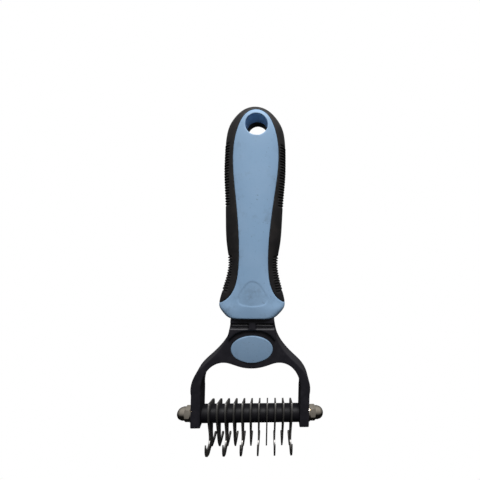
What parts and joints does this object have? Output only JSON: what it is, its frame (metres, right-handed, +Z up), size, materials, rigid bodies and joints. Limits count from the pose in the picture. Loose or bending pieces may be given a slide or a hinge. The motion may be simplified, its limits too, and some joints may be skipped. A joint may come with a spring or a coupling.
{
  "type": "undercoat rake",
  "caption": "Hand-held double-sided undercoat rake: soft handle with a hang hole, and a two-armed yoke that holds hooked steel blades and spacers on a threaded axle.",
  "frame": {"origin": "centre of the hang hole, in the middle of the handle's thickness", "axes": "+Z up along the handle away from the blades, X across the head along the blade axle, +Y through the hang hole away from the blue front"},
  "size_m": [0.0828, 0.0305, 0.1979],
  "materials": {
    "blue_soft_plastic": "matte, fine speckle",
    "black_grip_rubber": "matte moulded rubber with fine ribs",
    "black_frame_plastic": "satin moulded plastic",
    "black_spacer_plastic": "satin moulded plastic",
    "blade_steel": "ground and polished edges",
    "threaded_steel": "plain thread",
    "nickel_plate": "bright nickel plate"
  },
  "bodies": {
    "handle": {"front_shell": "blue_soft_plastic", "grip_shell": "black_grip_rubber", "yoke_frame": "black_frame_plastic", "oval_inlay": "blue_soft_plastic"},
    "blade_pack": {"axle_stud": "threaded_steel", "blade_long_01": "blade_steel", "blade_long_03": "blade_steel", "blade_long_05": "blade_steel", "blade_long_07": "blade_steel", "blade_long_09": "blade_steel", "blade_long_11": "blade_steel", "blade_short_02": "blade_steel", "blade_short_04": "blade_steel", "blade_short_06": "blade_steel", "blade_short_08": "blade_steel", "blade_short_10": "blade_steel", "spacer_01": "black_spacer_plastic", "spacer_02": "black_spacer_plastic", "spacer_03": "black_spacer_plastic", "spacer_04": "black_spacer_plastic", "spacer_05": "black_spacer_plastic", "spacer_06": "black_spacer_plastic", "spacer_07": "black_spacer_plastic", "spacer_08": "black_spacer_plastic", "spacer_09": "black_spacer_plastic", "spacer_10": "black_spacer_plastic", "end_spacer_left": "black_spacer_plastic", "end_spacer_right": "black_spacer_plastic"},
    "washer_right": {"washer_right": "nickel_plate"},
    "nut_right": {"domed_nut_right": "nickel_plate"},
    "washer_left": {"washer_left": "nickel_plate"},
    "nut_left": {"domed_nut_left": "nickel_plate"}
  },
  "joints": [
    {"name": "blade_pack_tilt", "type": "hinge", "parent": "handle", "child": "blade_pack", "pos_m": [0, 0, -0.161], "axis": [1, 0, 0], "range_deg": [-120, 120]},
    {"name": "nut_right_turn", "type": "hinge", "parent": "handle", "child": "washer_right", "pos_m": [0, 0, -0.161], "axis": [1, 0, 0], "range_deg": [0, 2795]},
    {"name": "nut_right_travel", "type": "slide", "parent": "washer_right", "child": "nut_right", "axis": [1, 0, 0], "range_m": [0, 0.00543]},
    {"name": "nut_left_turn", "type": "hinge", "parent": "handle", "child": "washer_left", "pos_m": [0, 0, -0.161], "axis": [-1, 0, 0], "range_deg": [0, 2795]},
    {"name": "nut_left_travel", "type": "slide", "parent": "washer_left", "child": "nut_left", "axis": [-1, 0, 0], "range_m": [0, 0.00543]}
  ],
  "couplings": [
    {"joint": "nut_right_turn", "follows": "nut_right_travel", "rad_per_m": 8976},
    {"joint": "nut_left_turn", "follows": "nut_left_travel", "rad_per_m": 8976}
  ]
}
